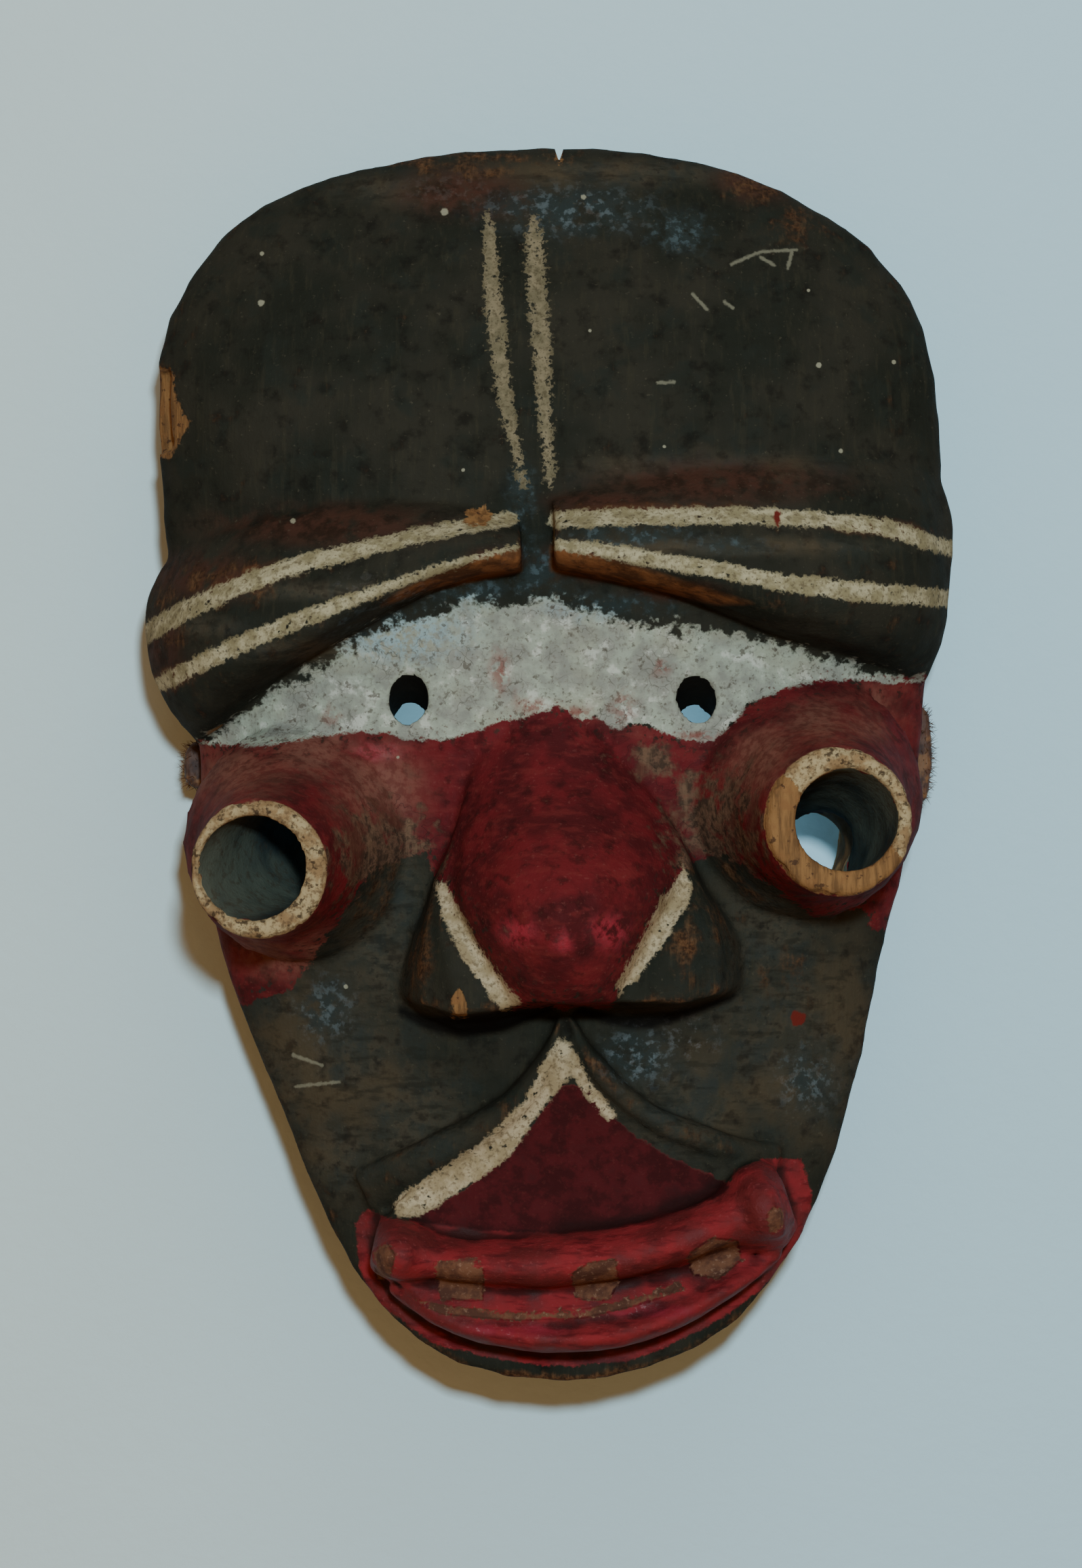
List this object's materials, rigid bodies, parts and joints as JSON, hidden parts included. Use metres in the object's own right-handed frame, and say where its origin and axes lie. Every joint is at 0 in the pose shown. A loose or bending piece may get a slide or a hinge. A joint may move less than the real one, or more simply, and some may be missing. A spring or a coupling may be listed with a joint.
{
  "type": "african mask",
  "caption": "Carved painted wooden face mask with tube eyes, heavy ribbed brows, broad nose and open mouth; hollow behind, lying face up on its rim.",
  "frame": {"origin": "middle of the rim's plane, under the centre of the box around the mask", "axes": "+Y from chin to crown along the face, +X to the right as the face is seen, +Z out of the face; the rim of the hollow back lies on z = 0"},
  "size_m": [0.1819, 0.2765, 0.0971],
  "materials": {
    "painted_wood": "worn dark, red and white paint over carved wood",
    "hide": "stiff brown hide with short hair"
  },
  "bodies": {
    "root": {"mask": "painted_wood", "left_hide_strip": "hide", "right_hide_strip": "hide"}
  },
  "joints": []
}
